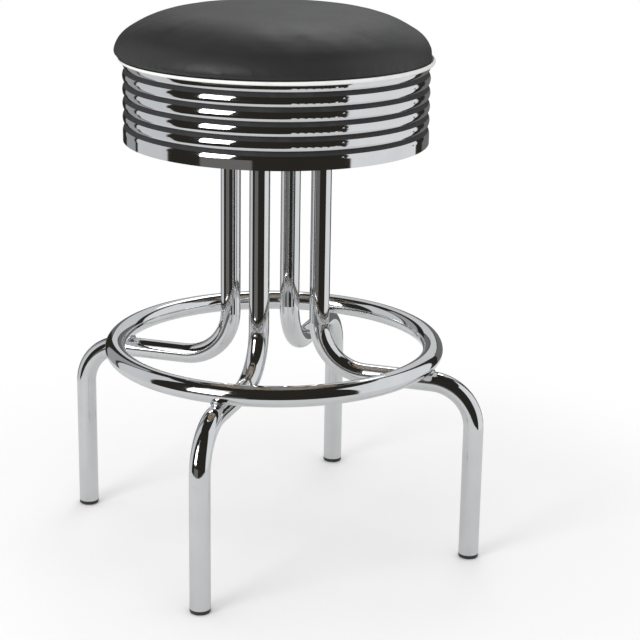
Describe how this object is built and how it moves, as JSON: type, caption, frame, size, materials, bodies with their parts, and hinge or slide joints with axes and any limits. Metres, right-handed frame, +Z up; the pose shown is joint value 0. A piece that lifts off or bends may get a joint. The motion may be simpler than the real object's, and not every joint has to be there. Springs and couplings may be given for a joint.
{
  "type": "counter stool",
  "caption": "Round padded counter stool with a ribbed chrome band, a turning seat, bent tube legs and a foot ring.",
  "frame": {"origin": "on the floor, in the middle of the feet, under the seat's axis", "axes": "+Z up along the seat's axis, -Y towards the front leg, +X towards the right leg"},
  "size_m": [0.5534, 0.5534, 0.6818],
  "materials": {
    "tube_chrome": "polished chrome plating",
    "band_metal": "polished, bright",
    "black_strip": "matte black",
    "cap_plastic": "moulded, satin black",
    "black_vinyl": "grained vinyl, satin",
    "white_vinyl": "smooth vinyl, satin",
    "foam": "open-cell foam",
    "plywood": "unfinished birch plywood",
    "zinc_plate": "zinc-plated pressed steel",
    "zinc_fastener": "zinc-plated",
    "bearing_steel": "polished steel, greased",
    "weld_metal": "weld bead, plated over"
  },
  "bodies": {
    "frame": {"leg_right": "tube_chrome", "leg_back": "tube_chrome", "leg_left": "tube_chrome", "leg_front": "tube_chrome", "foot_cap_right": "cap_plastic", "foot_cap_back": "cap_plastic", "foot_cap_left": "cap_plastic", "foot_cap_front": "cap_plastic", "foot_ring": "tube_chrome", "ring_welds": "weld_metal", "column_plate": "zinc_plate", "column_welds": "zinc_plate", "swivel_lower_plate": "zinc_plate", "swivel_rivet": "zinc_fastener", "swivel_bolts": "zinc_fastener", "swivel_nuts": "zinc_fastener"},
    "bearing": {"ball_cage": "bearing_steel", "bearing_balls": "bearing_steel"},
    "seat": {"swivel_upper_plate": "zinc_plate", "swivel_screws": "zinc_fastener", "seat_board": "plywood", "seat_foam": "foam", "seat_cover": "black_vinyl", "cover_staples": "zinc_fastener", "welt": "white_vinyl", "seat_band": "band_metal", "groove_inlays": "black_strip", "band_splice": "zinc_plate", "band_brackets": "zinc_plate", "bracket_screws": "zinc_fastener"}
  },
  "joints": [
    {"name": "seat_swivel", "type": "hinge", "parent": "frame", "child": "seat", "pos_m": [0, 0, 0.591], "axis": [0, 0, 1], "continuous": true},
    {"name": "bearing_turn", "type": "hinge", "parent": "frame", "child": "bearing", "pos_m": [0, 0, 0.591], "axis": [0, 0, 1], "continuous": true}
  ],
  "couplings": [
    {"joint": "bearing_turn", "follows": "seat_swivel", "ratio": 0.5}
  ]
}
